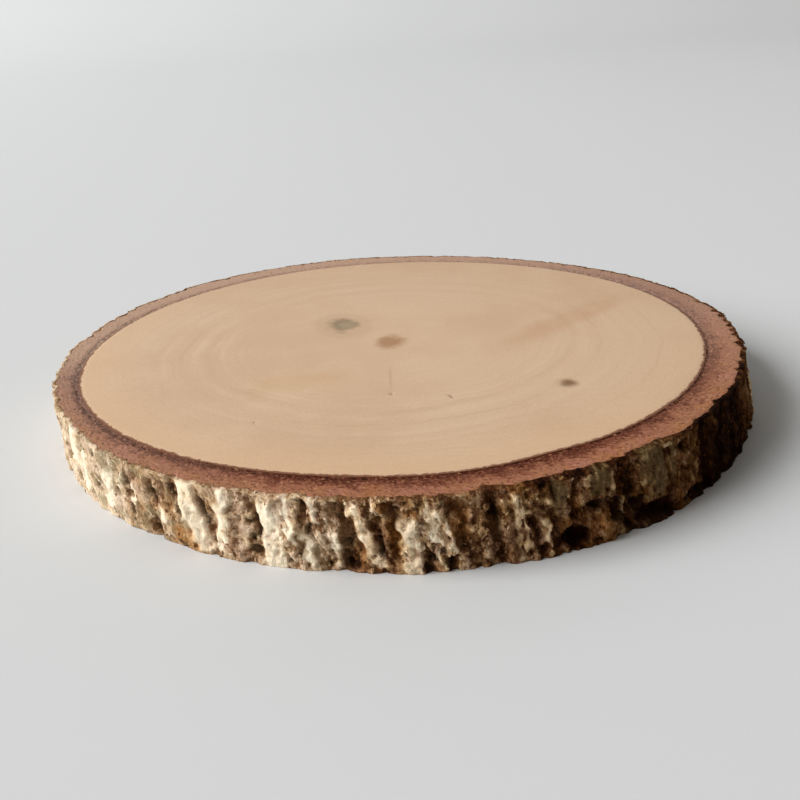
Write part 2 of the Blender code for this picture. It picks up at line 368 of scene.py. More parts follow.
def make_wood_finish():
    """Bare sanded wood: pale tan with faint broken rings, soft stains, fine fibre, and its pith and knots."""
    material, tree, shader, coordinates = new_material("sanded_wood")
    clouds = grain(tree, coordinates, 24)
    base = mix(tree, span(tree, clouds, 0.36, 0.64), colour(204, 171, 139), colour(211, 182, 150))

    growth = mark(tree, "growth")
    wandering = calc(tree, "MULTIPLY_ADD", grain(tree, coordinates, 20), 0.10, growth)
    year = {"W": wandering, "Detail": 3.0}
    broad = add(tree, "ShaderNodeTexNoise", {**year, "Scale": 21.0}, noise_dimensions="1D").outputs["Fac"]
    fine = add(tree, "ShaderNodeTexNoise", {**year, "Scale": 70.0}, noise_dimensions="1D").outputs["Fac"]
    shown = span(tree, grain(tree, coordinates, 13), 0.40, 0.62, 0.2, 1.0)
    shown = calc(tree, "MULTIPLY", shown, span(tree, growth, 0.25, 0.55, 0.25, 1.0))
    lighter = calc(tree, "MULTIPLY", span(tree, broad, 0.50, 0.25, 0.0, 0.32), shown)
    darker = calc(tree, "MULTIPLY", span(tree, broad, 0.50, 0.75, 0.0, 0.30), shown)
    lines = calc(tree, "MULTIPLY", span(tree, fine, 0.52, 0.70, 0.0, 0.13), shown)
    base = mix(tree, lighter, base, colour(221, 196, 166))
    base = mix(tree, darker, base, colour(191, 158, 127))
    base = mix(tree, lines, base, colour(184, 149, 117))
    base = mix(tree, calc(tree, "MULTIPLY", mark(tree, "sapwood"), 0.7), base, colour(216, 180, 143))
    # Painted shade: the wood is darkened by the mark shade toward its rim, its right and its far side.
    base = mix(tree, calc(tree, "MULTIPLY", mark(tree, "shade"), 0.36), base, colour(186, 152, 120))

    heart = (PITH[0] + CENTRE[0], PITH[1] + CENTRE[1], 0.0)
    flat = vector(tree, "MULTIPLY", vector(tree, "SUBTRACT", coordinates, heart), (1.0, 1.0, 0.0))
    outward = vector(tree, "NORMALIZE", flat)
    spread = {"Vector": outward, "W": calc(tree, "MULTIPLY", growth, 4.0), "Scale": 48.0, "Detail": 3.0}
    rays = add(tree, "ShaderNodeTexNoise", spread, noise_dimensions="4D").outputs["Fac"]
    base = mix(tree, span(tree, rays, 0.50, 0.72, 0.0, 0.20), base, colour(190, 154, 120))
    base = mix(tree, span(tree, rays, 0.48, 0.30, 0.0, 0.22), base, colour(222, 196, 164))
    sanded = {"Vector": vector(tree, "MULTIPLY", coordinates, SANDING), "Scale": 1.0, "Detail": 2.0}
    scratches = add(tree, "ShaderNodeTexNoise", sanded).outputs["Fac"]
    base = mix(tree, span(tree, scratches, 0.52, 0.72, 0.0, 0.12), base, colour(184, 148, 114))

    fibre = grain(tree, coordinates, 0.35)
    pores = grain(tree, coordinates, 0.18)
    base = mix(tree, span(tree, fibre, 0.50, 0.72, 0.0, 0.22), base, colour(178, 142, 110))
    base = mix(tree, span(tree, pores, 0.58, 0.72, 0.0, 0.28), base, colour(152, 116, 86))

    ragged = grain(tree, coordinates, 5.0)
    cloudy = span(tree, grain(tree, coordinates, 7), 0.35, 0.65, 0.32, 0.56)
    base = mix(tree, calc(tree, "MULTIPLY", mark(tree, "streak"), cloudy), base, colour(188, 145, 109))
    for name, shade, strength in (
        ("blush", (196, 156, 112), 0.38),
        ("knot_rim", (150, 122, 92), 0.14),
        ("knot", (126, 105, 76), 0.90),
        ("knot_core", (164, 144, 116), 0.80),
        ("pith", (164, 122, 84), 0.92),
        ("small_knot", (116, 86, 52), 0.90),
        ("specks", (122, 98, 70), 0.60),
        ("check", (160, 128, 98), 0.28),
    ):
        base = stain(tree, base, colour(*shade), mark(tree, name), ragged, strength)

    torn = sway(tree, growth, grain(tree, coordinates, 0.9), 0.020)
    base = mix(tree, span(tree, torn, 0.990, 0.996), base, colour(124, 80, 56))

    tree.links.new(base, shader.inputs["Base Color"])
    tree.links.new(span(tree, fibre, 0.3, 0.7, 0.52, 0.68), shader.inputs["Roughness"])
    shader.inputs["Specular IOR Level"].default_value = 0.25
    rubbed = calc(tree, "MULTIPLY_ADD", scratches, 0.8, fibre)
    roughen(tree, shader, calc(tree, "MULTIPLY_ADD", pores, -0.6, rubbed), 0.03 * MM, 0.6)
    return material


wood = make_sawn_wood()
wood.data.materials.append(make_wood_finish())
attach(wood, "root")
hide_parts("wood_slice")

# The inner bark
# The living bark, cut through with the wood: a dark crumbly line where the two part, then a reddish-brown
# grainy band out to the rough bark. It is one ring, as the saw left it on both faces.
BARK_RADIUS = 56.1 * MM
BASE_FLARE = 0.4 * MM
# The waves of the bark's outline at the top and at the base, given like the wood's.
TOP_WAVES = ((0.55, -0.2), (-0.35, -0.5), (0.5, 0.5), (0.15, 0.3))
BASE_WAVES = ((0.55, -0.2), (-0.15, 0.0), (0.05, 0.15), (0.15, 0.3))
CREST = 0.2 * MM
# What is left of a furrow's depth at the top and the base, and over what share of the height it returns.
TOP_SHARE = 0.25
BASE_SHARE = 0.6
FACE_REACH = 0.12
# The solid's noise: how far it goes, and the width and the height of its lumps, in mm.
WANDER = (0.7, 4.5, 3.2)
SWELL = (0.35, 9.0, 8.0)
SCALES = (0.4, 2.0, 4.0)
# Furrows on the front: azimuth at the top, half way down and at the base, the stretch of the height that each
# runs over, its depth and its half width in mm.
FRONT_FURROWS = (
    (-130.5, -134.5, -137.0, 0.0, 0.35, 0.5, 1.3), (-129.2, -130.0, -133.0, 0.1, 0.6, 0.9, 1.2),
    (-124.3, -126.0, -127.5, 0.05, 0.5, 1.2, 1.5), (-125.0, -125.6, -126.2, 0.65, 1.0, 1.05, 1.2),
    (-120.5, -121.5, -123.5, 0.0, 0.5, 0.9, 1.3), (-117.2, -115.6, -116.4, 0.0, 1.0, 0.7, 0.8),
    (-110.0, -108.4, -110.8, 0.0, 1.0, 0.9, 1.6), (-101.8, -101.7, -100.4, 0.0, 1.0, 0.8, 1.0),
    (-99.2, -99.4, -100.0, 0.4, 1.0, 0.6, 0.8), (-97.4, -96.9, -98.0, 0.0, 1.0, 1.1, 1.5),
    (-93.8, -93.4, -94.4, 0.05, 0.85, 0.8, 0.9), (-91.6, -91.3, -92.4, 0.0, 0.9, 0.9, 1.4),
    (-88.8, -88.6, -88.1, 0.55, 1.0, 1.1, 1.3), (-85.6, -85.5, -85.4, 0.75, 1.0, 0.8, 0.9),
    (-83.4, -83.5, -82.6, 0.0, 1.0, 0.7, 1.3), (-79.2, -79.3, -79.6, 0.0, 1.0, 1.1, 1.5),
    (-74.4, -74.3, -74.6, 0.35, 1.0, 0.75, 0.8), (-71.9, -71.7, -72.0, 0.0, 1.0, 0.8, 1.0),
    (-69.0, -69.1, -70.5, 0.0, 1.0, 0.9, 1.0), (-61.6, -61.5, -61.0, 0.0, 1.0, 0.9, 1.1),
    (-59.6, -60.2, -60.5, 0.0, 0.8, 0.75, 1.0), (-52.8, -53.2, -53.0, 0.0, 1.0, 0.7, 0.8),
    (-44.5, -44.7, -45.0, 0.0, 1.0, 1.05, 1.5),
)
FRONT_FROM = -138.0
FRONT_TO = -42.0
FURROW_SEED = 7
FURROW_STEP = (2.2, 4.8)
FURROW_SLANT = (-3.5, 2.5)
FURROW_BOW = (-1.2, 1.2)
FURROW_DEPTH = (0.6 * MM, 1.25 * MM)
FURROW_HALF_WIDTH = (0.9 * MM, 1.6 * MM)
SHORT_FURROW_SHARE = 0.4
SHORT_FURROW_START = (0.0, 0.5)
SHORT_FURROW_LENGTH = (0.4, 0.6)
FURROW_FADE = 0.12
# Where a scale of bark has come away or still stands out: azimuth, share of the height down, then half width,
# half height and rise in mm.
SPOTS = (
    (-118.3, 0.5, 1.6, 6.0, 0.4), (-113.0, 0.4, 1.3, 5.0, 0.4), (-105.0, 0.45, 1.7, 5.5, 0.3),
    (-97.6, 0.8, 1.4, 1.8, -0.7), (-93.6, 0.66, 0.9, 1.3, -0.9), (-69.5, 0.84, 2.2, 1.7, -1.2),
    (-66.5, 0.5, 2.2, 0.9, -1.2), (-65.7, 0.78, 1.9, 1.9, 0.7), (-63.2, 0.62, 1.0, 1.7, -1.2),
    (-56.0, 0.33, 3.4, 3.6, 0.4), (-56.5, 0.83, 4.4, 1.5, -1.3), (-49.5, 0.2, 1.3, 1.1, -1.0),
)
INNER_SIDES = 1100
TOP_BAND_ROWS = 30
BASE_BAND_ROWS = 10
# How wide the rough bark is on the top face, by azimuth, in mm.
LIP_TREND = (
    (-180, 0.4), (-140, 0.55), (-112, 0.4), (-107, 1.0), (-96, 0.75), (-90, 0.85), (-84, 0.45), (-79, 1.0),
    (-75, 0.75), (-70, 1.15), (-64, 1.15), (-61, 0.5), (-56, 1.05), (-51, 0.45), (-46, 0.25), (-40, 0.5),
    (-10, 0.6), (15, 0.35), (90, 0.3), (180, 0.4),
)
BASE_LIP = 0.4 * MM
INNER_WAIST = 52.6 * MM
WAIST_DROP = 1.2 * MM
# The hidden loops along the ring's inner and outer edge: a factor on the radius, and how far they are sunk.
INNER_TUCK = (0.994, 0.5 * MM)
OUTER_TUCK = (0.9985, 0.4 * MM)
# How far the ring reaches under the rough bark, and how ragged it ends there.
RING_REACH = 0.12 * MM
RING_RAGGED = 0.12 * MM
# The crumbly groove along the wood: how far from it, its half width and its depth. Then how far the ring is
# sunk, how far its outer edge turns down and how rough it is.
GROOVE_AWAY = 0.35 * MM
GROOVE_HALF_WIDTH = 0.45 * MM
GROOVE_DEPTH = 0.30 * MM
RING_SUNK = 0.06 * MM
RING_TURNED_DOWN = 0.10 * MM
RING_ROUGHNESS = 0.09 * MM
# The share of the ring's width, from the wood out, that is torn and crumbly.
CRUMBLY_SHARE = 0.28
# How much the cut ring is painted paler and greyer, by azimuth: a painted sheen, brightest round its left and
# far side.
PAINTED_SHEEN_TREND = (
    (-180, 1.0), (-160, 0.54), (-140, 0.27), (-120, 0.12), (-105, 0.0), (-60, 0.0), (-45, 0.04),
    (-30, 0.08), (-10, 0.28), (20, 0.72), (60, 0.92), (130, 1.1), (180, 1.0),
)
# How wide the dark line at the wood is, by azimuth, 1 being the widest quarter of the ring.
LINE_TREND = (
    (-180, 0.55), (-140, 0.85), (-120, 0.85), (-105, 1.05), (-90, 1.1), (-74, 1.24), (-58, 0.95),
    (-45, 0.78), (-30, 0.74), (0, 0.66), (60, 0.48), (140, 0.42), (180, 0.55),
)
# The heights near a face over which the ring keeps behind the rough bark's hollows.
NEAR_TOP = (0.0, 0.04, 0.08)
NEAR_BASE = (1.0, 0.94, 0.88, 0.82)


def on_bark(angle, drop, across, along, salt=0):
    """Smooth noise on the bark, whose lumps are `across` mm wide round it and `along` mm tall."""
    x = BARK_RADIUS * np.cos(angle)
    y = BARK_RADIUS * np.sin(angle)
    return lumps(x, y, drop + salt * MM, across * MM, along * MM)


def round_bark(angle, across, salt):
    """Smooth noise round the bark, the same at every height, whose lumps are `across` mm wide."""
    return on_bark(angle, salt + 0.0 * angle, across, 1.0 / MM)


def by_azimuth(angle, trend):
    """What a trend says at each angle: it goes straight from each pair of azimuth and value to the next."""
    return np.interp(np.degrees(angle), *zip(*trend))


def all_furrows():
    """The front furrows, and random ones round the rest of the bark, in the order that the solid has them."""
    draw = random.Random(FURROW_SEED)
    furrows = [(*furrow[:5], furrow[5] * MM, furrow[6] * MM) for furrow in FRONT_FURROWS]
    azimuth = FRONT_TO + draw.uniform(*FURROW_STEP)
    while azimuth < FRONT_FROM + 360.0:
        first, last = 0.0, 1.0
        if draw.random() < SHORT_FURROW_SHARE:
            first = draw.uniform(*SHORT_FURROW_START)
            last = first + draw.uniform(*SHORT_FURROW_LENGTH)
        base = azimuth + draw.uniform(*FURROW_SLANT)
        middle = (azimuth + base) / 2 + draw.uniform(*FURROW_BOW)
        depth = draw.uniform(*FURROW_DEPTH)
        half_width = draw.uniform(*FURROW_HALF_WIDTH)
        furrows.append((azimuth, middle, base, first, last, depth, half_width))
        azimuth += draw.uniform(*FURROW_STEP)
    return furrows


def arc_between(angle, azimuth):
    """How far round the bark each angle lies from an azimuth in degrees, in metres, signed."""
    turn = (np.degrees(angle) - azimuth + 180.0) % 360.0 - 180.0
    return np.radians(turn) * BARK_RADIUS


def furrow_cut(angle, down):
    """How deep the furrows cut at each point, `down` the height from 0 at the top to 1 at the base."""
    deepest = np.zeros(np.broadcast(angle, down).shape)
    at_top = TOP_SHARE + (1.0 - TOP_SHARE) * down / FACE_REACH
    at_base = BASE_SHARE + (1.0 - BASE_SHARE) * (1.0 - down) / FACE_REACH
    rim = np.minimum(1.0, np.minimum(at_top, at_base))
    for top, middle, base, first, last, depth, half_width in all_furrows():
        line = top * (1.0 - down) * (1.0 - 2.0 * down) + base * down * (2.0 * down - 1.0)
        line = line + middle * 4.0 * down * (1.0 - down)
        away = held(abs(arc_between(angle, line)) / half_width)
        fade = rim
        if first > 0.0:
            fade = np.minimum(fade, held((down - first) / FURROW_FADE))
        if last < 1.0:
            fade = np.minimum(fade, held((last - down) / FURROW_FADE))
        deepest = np.maximum(deepest, depth * fade * (0.5 + 0.5 * np.cos(math.pi * away)))
    return deepest


def within(angle, down, azimuth, middle, half_width, half_height):
    """1 at the middle of an oval on the bark, falling to 0 at its edge. Its half sizes are in mm."""
    across = arc_between(angle, azimuth) / (half_width * MM)
    along = (down - middle) * THICKNESS / (half_height * MM)
    return held(1.0 - across * across - along * along)


def crooked(angle, drop, wander):
    """How far crooked edges are bent aside at each point by a fine wander, in radians."""
    return wander * on_bark(angle, drop, 1.1, 1.5, salt=30) / BARK_RADIUS


def bark_shape(angle, down, fine_wander=0.0):
    """The radius of the solid's bark at each point, and how deep it is cut there."""
    drop = down * THICKNESS
    rise, across, along = WANDER
    bent = angle + rise * MM * on_bark(angle, drop, across, along) / BARK_RADIUS
    bent = bent + crooked(angle, drop, fine_wander)
    cut = furrow_cut(bent, down)
    top = waved(BARK_RADIUS, TOP_WAVES, angle)
    base = waved(BARK_RADIUS + BASE_FLARE, BASE_WAVES, angle)
    radius = top + (base - top) * down + CREST
    for azimuth, middle, half_width, half_height, rise in SPOTS:
        cut = cut - rise * MM * within(bent, down, azimuth, middle, half_width, half_height)
    radius = radius - cut
    for rise, across, along in (SWELL, SCALES):
        radius = radius + rise * MM * on_bark(angle, drop, across, along)
    return radius, cut


def lip(angle):
    """How wide the rough bark is on the top face at each angle."""
    wide = by_azimuth(angle, LIP_TREND)
    return MM * np.maximum(wide * (1.0 + 0.5 * round_bark(angle, 1.6, salt=9.0)), 0.2)


def make_inner_bark():
    """A ring from just inside the wood's edge to just inside the rough bark, grainy where the saw cut it."""
    angle = np.linspace(-math.pi, math.pi, INNER_SIDES, endpoint=False)[None, :]
    inner = wood_edge(angle)
    loops = []
    shares = []
    crumbles = []
    for rows, down, heights in ((TOP_BAND_ROWS, 0.0, NEAR_TOP), (BASE_BAND_ROWS, 1.0, NEAR_BASE)):
        outer = np.minimum.reduce([bark_shape(angle, height + 0.0 * angle)[0] for height in heights])
        ragged = round_bark(angle, 0.9, salt=7.0 + down)
        outer = outer - (BASE_LIP if down else lip(angle)) + RING_REACH - RING_RAGGED * ragged
        share = np.linspace(0.0, 1.0, rows)[:, None]
        radius = inner + share * (outer - inner)
        x = radius * np.cos(angle)
        y = radius * np.sin(angle)
        away = radius - inner
        grains = lumps(x, y, 0 * x + 5.0 * down, 0.42 * MM, 1.0)
        grains = grains + 0.6 * lumps(x, y, 0 * x + 2.0, 0.22 * MM, 1.0)
        crumbs = lumps(x, y, 0 * x + 3.0 + 5.0 * down, 0.8 * MM, 1.0)
        groove = np.exp(-((away - GROOVE_AWAY) / GROOVE_HALF_WIDTH) ** 2)
        groove = groove * np.clip(0.55 + 0.9 * crumbs, 0.05, 1.0)
        edge = smooth((share - 0.93) / 0.07)
        sunk = RING_SUNK + GROOVE_DEPTH * groove + RING_TURNED_DOWN * edge - RING_ROUGHNESS * grains
        drop = THICKNESS * down + np.maximum(sunk, 0.0) * (1.0 - 2.0 * down)
        inward = 1.0 - 2.0 * down
        first = place(x[:1] * INNER_TUCK[0], y[:1] * INNER_TUCK[0], drop[:1] + INNER_TUCK[1] * inward)
        last = place(x[-1:] * OUTER_TUCK[0], y[-1:] * OUTER_TUCK[0], drop[-1:] + OUTER_TUCK[1] * inward)
        waist = INNER_WAIST / radius[-1:]
        hidden = place(x[-1:] * waist, y[-1:] * waist, drop[-1:] + WAIST_DROP * inward)
        band = np.concatenate([first, place(x, y, drop), last, hidden])
        spread = np.concatenate([share[:1], share, share[-1:], share[-1:]]) + 0.0 * angle
        rough = held(0.5 + 0.45 * grains)
        rough = np.concatenate([rough[:1], rough, rough[-1:], rough[-1:]])
        loops.append(band if down == 0.0 else band[::-1])
        shares.append(spread if down == 0.0 else spread[::-1])
        crumbles.append(rough if down == 0.0 else rough[::-1])
    outward = np.concatenate(shares)
    marks = {"outward": outward ** by_azimuth(angle, LINE_TREND)}
    marks["height"] = np.concatenate(crumbles)
    # Painted sheen, by azimuth: paler round the left and far side, greyer toward the right back.
    marks["painted_sheen"] = by_azimuth(angle, PAINTED_SHEEN_TREND) + 0.0 * marks["outward"]
    marks["flaking"] = np.where(outward < CRUMBLY_SHARE, 1.0, 0.3)
    marks["flaking"][0] = 0.0
    marks["flaking"][TOP_BAND_ROWS:] = 0.0
    return skin("inner_bark", np.concatenate(loops), marks)


def make_inner_bark_finish():
    """Cut inner bark: dark at the wood, then reddish brown, all of it finely grainy and dull."""
    material, tree, shader, coordinates = new_material("cut_inner_bark")
    fine = grain(tree, coordinates, 0.30)
    patches = grain(tree, coordinates, 2.2)
    height = calc(tree, "MULTIPLY_ADD", fine, 0.5, calc(tree, "MULTIPLY", mark(tree, "height"), 0.5))
    wavy = sway(tree, mark(tree, "outward"), patches, 0.90)
    wavy = sway(tree, wavy, height, 0.36)
    wavy = sway(tree, wavy, grain(tree, coordinates, 0.9), 0.80)
    base = ramp(tree, wavy, (
        (0.00, (84, 41, 26)),
        (0.18, (94, 48, 31)),
        (0.36, (117, 68, 49)),
        (0.55, (142, 90, 66)),
        (0.80, (160, 108, 79)),
        (1.00, (152, 102, 73)),
    ))
    outside = span(tree, wavy, 0.35, 0.70)
    golden = span(tree, grain(tree, coordinates, 3.1), 0.50, 0.64, 0.0, 0.50)
    pinkish = span(tree, grain(tree, coordinates, 4.3), 0.48, 0.36, 0.0, 0.55)
    base = mix(tree, calc(tree, "MULTIPLY", golden, outside), base, colour(162, 106, 62))
    base = mix(tree, calc(tree, "MULTIPLY", pinkish, outside), base, colour(168, 112, 94))
    base = mix(tree, span(tree, height, 0.52, 0.70, 0.0, 0.50), base, colour(198, 144, 104))
    base = mix(tree, span(tree, height, 0.48, 0.34, 0.0, 0.60), base, colour(72, 30, 18))
    # Painted sheen: the ring is painted paler round its left and far side and greyer toward its right back.
    painted_sheen = mark(tree, "painted_sheen")
    sheen_colour = ramp(tree, painted_sheen, (
        (0.25, (196, 170, 150)),
        (0.72, (162, 142, 130)),
        (1.00, (196, 170, 148)),
    ))
    base = mix(tree, calc(tree, "MULTIPLY", painted_sheen, 0.60), base, sheen_colour)
    tree.links.new(base, shader.inputs["Base Color"])
    shader.inputs["Roughness"].default_value = 0.85
    shader.inputs["Specular IOR Level"].default_value = 0.10
    roughen(tree, shader, fine, 0.10 * MM, 0.6)
    return material


inner_bark = make_inner_bark()
inner_finish = make_inner_bark_finish()
inner_bark.data.materials.append(inner_finish)
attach(inner_bark, "root")
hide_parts("wood_slice")

# The outer bark
# Dead bark in upright plates parted by crooked furrows, crusted and flaking. It is cream on the left, tan in
# the middle and dark with rust and grey-green lichen on the right: partly its own bleaching and stains,
# partly painted light on the lit left and front and painted shade on the shaded right.
BARK_SIDES = 1500
WALL_ROWS = 56
BARK_BACK = 52.0 * MM
# The loops of the shoulder on the top face, as shares of its width from the wall in.
SHOULDER = (1.0, 0.75, 0.5, 0.25)
LOOPS_ABOVE = 2 + len(SHOULDER)
LOOPS_BELOW = 3
SHOULDER_BUMPS = 0.10 * MM
SHOULDER_SUNK = 0.03 * MM
# How far the wall's upper edge is chipped away at least, how much more at most, and a share of a wide lip.
CHIPPED_LEAST = 0.05 * MM
CHIPPED_MORE = 0.22 * MM
CHIPPED_OF_LIP = 0.45
WIDE_LIP_FROM = 0.4 * MM
# The hidden loops behind the lip and under the base, and how far the back of the ring is sunk.
TOP_TUCK = (0.4 * MM, 0.45 * MM)
BASE_TUCK = 0.3 * MM
BACK_DROP = 2.0 * MM
# How many of the wall's upper rows the top face's painted shade fades over.
SHADE_ROWS = 3
# How many columns either side tell which way a flank faces.
FLANK_COLUMNS = 2
FINE_WANDER = 0.9 * MM
# The grain of the bark leans here, in mm round the slice for each mm down.
GRAIN_LEAN = -0.36
GRAIN_LEAN_AT = -110.0
GRAIN_LEAN_SPREAD = 18.0
# How pale the bark is painted, by azimuth: partly its bleaching, partly painted light on the lit left and
# front and painted shade on the shaded right.
PALE_AND_LIGHT_TREND = (
    (-180, 0.8), (-150, 0.94), (-134, 0.92), (-126, 0.72), (-118, 0.76), (-110, 0.9), (-102, 0.91),
    (-94, 0.57), (-86, 0.69), (-80, 0.54), (-72, 0.33), (-62, 0.34), (-49, 0.28), (-44, 0.12), (-32, 0.12),
    (-15, 0.36), (20, 0.48), (60, 0.56), (110, 0.6), (150, 0.66), (180, 0.8),
)
# How crumbly it is, by azimuth.
FLAKY_TREND = (
    (-180, 0.35), (-140, 0.22), (-118, 0.3), (-104, 0.55), (-92, 0.85), (-70, 0.75), (-58, 0.4), (-46, 0.3),
    (0, 0.42), (90, 0.4), (180, 0.35),
)
# Pale plates on the front: azimuth at the top and at the base, the stretch of the height, half width in mm.
PALE_PLATES = (
    (-146.0, -147.5, 0.0, 0.5, 1.2), (-141.8, -144.0, 0.25, 0.85, 1.2), (-134.4, -137.0, 0.28, 0.85, 1.3),
    (-128.6, -130.4, 0.3, 0.6, 0.45), (-124.3, -123.6, 0.5, 0.72, 0.8), (-118.6, -117.6, 0.0, 0.95, 1.75),
    (-112.2, -115.4, 0.0, 0.88, 0.95), (-106.0, -107.8, 0.1, 1.0, 1.9), (-103.9, -104.9, 0.0, 0.62, 0.55),
    (-102.7, -102.5, 0.5, 0.92, 0.9), (-100.6, -100.0, 0.0, 0.32, 0.45), (-99.1, -99.0, 0.44, 0.95, 0.95),
    (-96.2, -93.8, 0.02, 0.92, 1.05), (-93.4, -93.4, 0.0, 0.22, 0.35), (-89.4, -90.2, 0.28, 1.0, 1.6),
    (-87.0, -86.4, 0.0, 0.6, 0.6), (-86.9, -86.7, 0.7, 0.97, 0.3), (-85.2, -84.6, 0.3, 0.75, 0.4),
    (-76.9, -76.8, 0.08, 1.0, 0.45), (-75.8, -75.9, 0.15, 0.85, 0.35), (-73.5, -73.1, 0.5, 1.0, 0.35),
    (-68.9, -69.0, 0.0, 0.1, 0.3), (-65.7, -65.6, 0.0, 0.1, 0.4), (-63.2, -63.0, 0.08, 0.36, 0.5),
    (-62.2, -61.8, 0.48, 0.74, 0.3), (-53.0, -53.0, 0.0, 0.1, 0.8),
)
# Plates at random round the rest of the bark.
PLATE_SEED = 5
PLATES_FROM = -15.0
PLATES_TO = 205.0
PLATE_STEP = (7.0, 13.0)
PLATE_START = (0.0, 0.5)
PLATE_LENGTH = (0.3, 0.9)
PLATE_HALF_WIDTH = (1.0 * MM, 2.2 * MM)
# Patches: azimuth, share of the height down, half width and half height in mm. The first are hollows, left by
# lost scales.
# The hollows are painted near black: partly the dark bark under lost scales, partly painted shade in them.
HOLLOWS = (
    (-139.0, 0.55, 0.45, 2.2), (-138.0, 0.12, 0.5, 0.8), (-132.6, 0.04, 0.6, 0.5), (-130.4, 0.26, 0.5, 1.5),
    (-130.8, 0.7, 0.5, 1.3), (-125.0, 0.33, 0.85, 1.9), (-126.1, 0.83, 0.75, 1.4), (-120.9, 0.22, 0.9, 1.6),
    (-120.2, 0.42, 0.5, 0.9), (-121.8, 0.95, 0.7, 0.7), (-116.4, 0.4, 0.38, 3.2), (-114.9, 0.33, 0.4, 1.5),
    (-109.0, 0.48, 0.8, 2.3), (-109.8, 0.78, 0.8, 1.0), (-105.2, 0.88, 0.5, 0.9), (-101.9, 0.08, 0.45, 0.9),
    (-102.0, 0.42, 0.3, 0.8), (-100.5, 0.95, 0.8, 0.6), (-98.5, 0.04, 0.6, 0.6), (-98.0, 0.24, 0.5, 0.8),
    (-97.3, 0.62, 0.9, 1.2), (-97.7, 0.9, 0.8, 1.1), (-94.0, 0.72, 0.42, 1.1), (-93.2, 0.55, 0.38, 0.7),
    (-91.9, 0.06, 0.45, 0.5), (-87.7, 0.8, 0.8, 1.2), (-88.3, 0.96, 0.9, 0.7), (-85.6, 0.9, 0.6, 1.0),
    (-86.2, 0.68, 0.4, 0.7), (-79.4, 0.3, 0.45, 2.0), (-72.4, 0.02, 1.2, 0.5), (-67.4, 0.02, 1.0, 0.5),
    (-69.0, 0.86, 2.1, 1.8), (-65.3, 0.49, 2.5, 0.9), (-62.9, 0.68, 1.0, 2.2), (-61.4, 0.95, 1.4, 1.2),
    (-60.4, 0.45, 0.9, 3.6), (-59.4, 0.74, 1.6, 2.6), (-56.6, 0.92, 4.6, 2.2), (-49.4, 0.2, 0.9, 1.2),
    (-47.6, 0.92, 3.4, 1.6),
)
HOLLOW_DEPTH = 0.45 * MM
RUST_PATCHES = (
    (-120.6, 0.86, 2.9, 2.8), (-92.2, 0.08, 1.6, 1.0), (-91.6, 0.5, 1.0, 3.8), (-88.9, 0.2, 0.7, 0.7),
    (-83.5, 0.35, 1.5, 3.8), (-76.0, 0.05, 1.3, 0.9), (-70.0, 0.62, 1.2, 1.2), (-68.8, 0.4, 0.9, 1.8),
    (-64.8, 0.72, 2.0, 2.2), (-64.8, 0.93, 1.7, 1.0), (-61.0, 0.4, 1.6, 3.0), (-51.5, 0.75, 1.0, 3.0),
)
LICHEN_PATCHES = (
    (-131.2, 0.05, 0.9, 0.8), (-132.6, 0.12, 0.9, 0.9), (-134.0, 0.19, 0.9, 0.8), (-79.3, 0.45, 0.8, 4.0),
    (-70.8, 0.16, 1.2, 3.0), (-65.0, 0.14, 2.3, 3.0), (-56.0, 0.17, 3.1, 4.2), (-55.2, 0.5, 1.9, 2.4),
    (-52.0, 0.35, 0.8, 4.5),
)
# How grey-green it is in clouds, by azimuth.
GREY_TREND = (
    (-180, 0.2), (-145, 0.5), (-134, 0.7), (-127, 1.0), (-121, 0.7), (-114, 0.1), (-108, 0.0), (180, 0.2),
)
# How much darker the bark at the far right is painted, as painted shade, by azimuth.
FAR_RIGHT_SHADE_TREND = ((-180, 0.0), (-48, 0.0), (-43, 0.3), (-32, 0.3), (-24, 0.0), (180, 0.0))
# How much darker the top face is painted than the wall, as painted shade along the rim, by azimuth.
RIM_SHADE_TREND = ((-180, 0.0), (-86, 0.0), (-76, 0.14), (-66, 0.24), (-46, 0.22), (0, 0.1), (90, 0.0))
# How far a plate fills the furrows, and how far a plate and a lichen crust even out the roughness.
PLATE_FILL = 0.75
PLATE_CALM = 0.10
LICHEN_CALM = 0.30
# How far old crust fills every furrow, by azimuth.
FILL_TREND = ((-180, 0.0), (-134, 0.1), (-124, 0.42), (-106, 0.42), (-96, 0.1), (-84, 0.0), (180, 0.0))
# How much darker and browner the flanks that face right, away from the light, are painted, as painted shade,
# by azimuth.
FLANK_SHADE_TREND = (
    (-180, 0.0), (-140, 0.04), (-124, 0.04), (-112, 0.09), (-100, 0.17), (-76, 0.1), (-60, 0.0), (180, 0.0),
)
# How much browner the bark is between the plates, by azimuth.
BETWEEN_TREND = (
    (-180, 0.0), (-140, 0.02), (-122, 0.06), (-104, 0.1), (-88, 0.09), (-76, 0.02), (-60, 0.0), (180, 0.0),
)
# How much of its roughness the wall keeps at the faces, by azimuth.
EDGE_TREND = ((-180, 0.12), (-155, 0.2), (-138, 0.45), (-48, 0.45), (-25, 0.2), (0, 0.12), (180, 0.12))
# How rough its crust is, by azimuth.
CRUST_TREND = (
    (-180, 0.7), (-150, 0.55), (-130, 0.65), (-116, 0.7), (-108, 0.92), (-84, 1.25), (-76, 1.1),
    (-40, 0.95), (0, 0.7), (180, 0.7),
)
# The stretch of azimuth where dead bark has bleached most, and over how many degrees it sets in.
BLEACHED_FROM = -126.0
BLEACHED_OVER = 12.0
# Random lichen keeps this many degrees off the middle of the front, and sets in over some more.
FRONT_MIDDLE = -90.0
RANDOM_FROM = 46.0
RANDOM_OVER = 14.0


